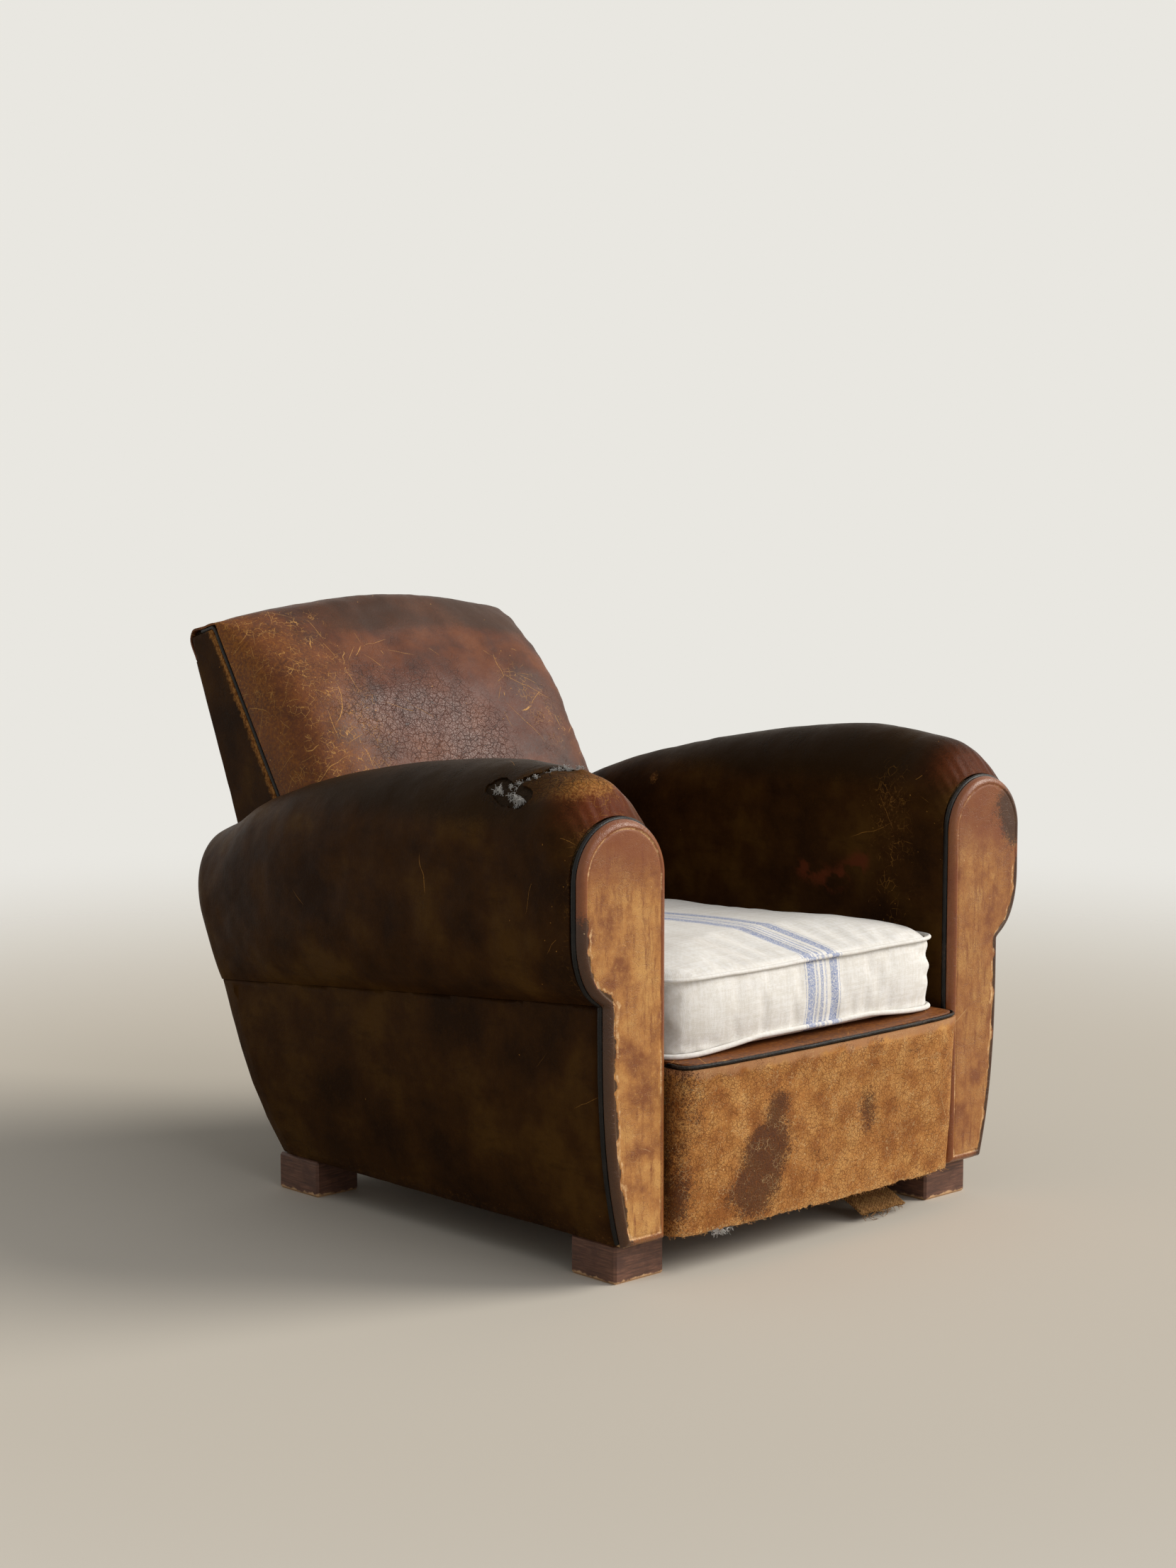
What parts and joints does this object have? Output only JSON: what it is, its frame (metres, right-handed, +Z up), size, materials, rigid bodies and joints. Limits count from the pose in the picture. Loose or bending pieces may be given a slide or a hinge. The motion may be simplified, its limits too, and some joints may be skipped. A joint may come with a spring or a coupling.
{
  "type": "club chair",
  "caption": "Low worn leather club chair with rolled arms, a raked padded back, block feet and a loose striped linen seat cushion.",
  "frame": {"origin": "centre of the bounding box on the floor", "axes": "+Z up, the front faces -Y, +X to the viewer's right when facing the front"},
  "size_m": [0.844, 1.0195, 0.8041],
  "materials": {
    "stained_beech_foot": "dark stained and worn, chipped at the bottom edges",
    "beech": "plain planed timber",
    "jute": "coarse woven jute, dusty",
    "spring_steel": "dull oiled wire",
    "curled_hair": "curled hair stuffing",
    "worn_tan_hide": "worn through its finish to a suede-like tan, cracked and stained",
    "black_piping": "black hide over cord, rubbed on its crown",
    "striped_linen": "off-white linen with woven dusty blue stripes",
    "brown_hide": "reddish brown, polished by wear, scratched and crackled",
    "dark_brown_hide": "almost black-brown patina, scratched and torn"
  },
  "bodies": {
    "root": {"front_foot_left": "stained_beech_foot", "front_foot_right": "stained_beech_foot", "rear_foot_left": "stained_beech_foot", "rear_foot_right": "stained_beech_foot", "front_rail": "beech", "rear_rail": "beech", "side_rail_left": "beech", "side_rail_right": "beech", "front_post_left": "beech", "front_post_right": "beech", "back_post_left": "beech", "back_post_right": "beech", "arm_stump_left": "beech", "arm_stump_right": "beech", "arm_rail_left": "beech", "arm_rail_right": "beech", "back_top_rail": "beech", "back_lower_rail": "beech", "long_webbing_1": "jute", "long_webbing_2": "jute", "long_webbing_3": "jute", "cross_webbing_1": "jute", "cross_webbing_2": "jute", "cross_webbing_3": "jute", "spring_hessian": "jute", "back_hessian": "jute", "seat_spring_1": "spring_steel", "seat_spring_2": "spring_steel", "seat_spring_3": "spring_steel", "seat_spring_4": "spring_steel", "seat_spring_5": "spring_steel", "seat_spring_6": "spring_steel", "seat_spring_7": "spring_steel", "seat_spring_8": "spring_steel", "seat_spring_9": "spring_steel", "seat_padding": "curled_hair", "back_padding": "curled_hair", "arm_padding_left": "curled_hair", "arm_padding_right": "curled_hair", "front_cover": "worn_tan_hide", "deck_cover": "worn_tan_hide", "arm_front_left": "worn_tan_hide", "arm_front_right": "worn_tan_hide", "front_piping": "black_piping", "back_piping_left": "black_piping", "back_piping_right": "black_piping", "arm_piping_left": "black_piping", "arm_piping_right": "black_piping", "seat_cushion": "striped_linen", "cushion_welt_top": "striped_linen", "cushion_welt_bottom": "striped_linen", "back_cover": "brown_hide", "back_facing_left": "dark_brown_hide", "back_facing_right": "dark_brown_hide", "outside_back": "dark_brown_hide", "arm_cover_left": "dark_brown_hide", "arm_cover_right": "dark_brown_hide", "side_panel_left": "dark_brown_hide", "side_panel_right": "dark_brown_hide"}
  },
  "joints": []
}
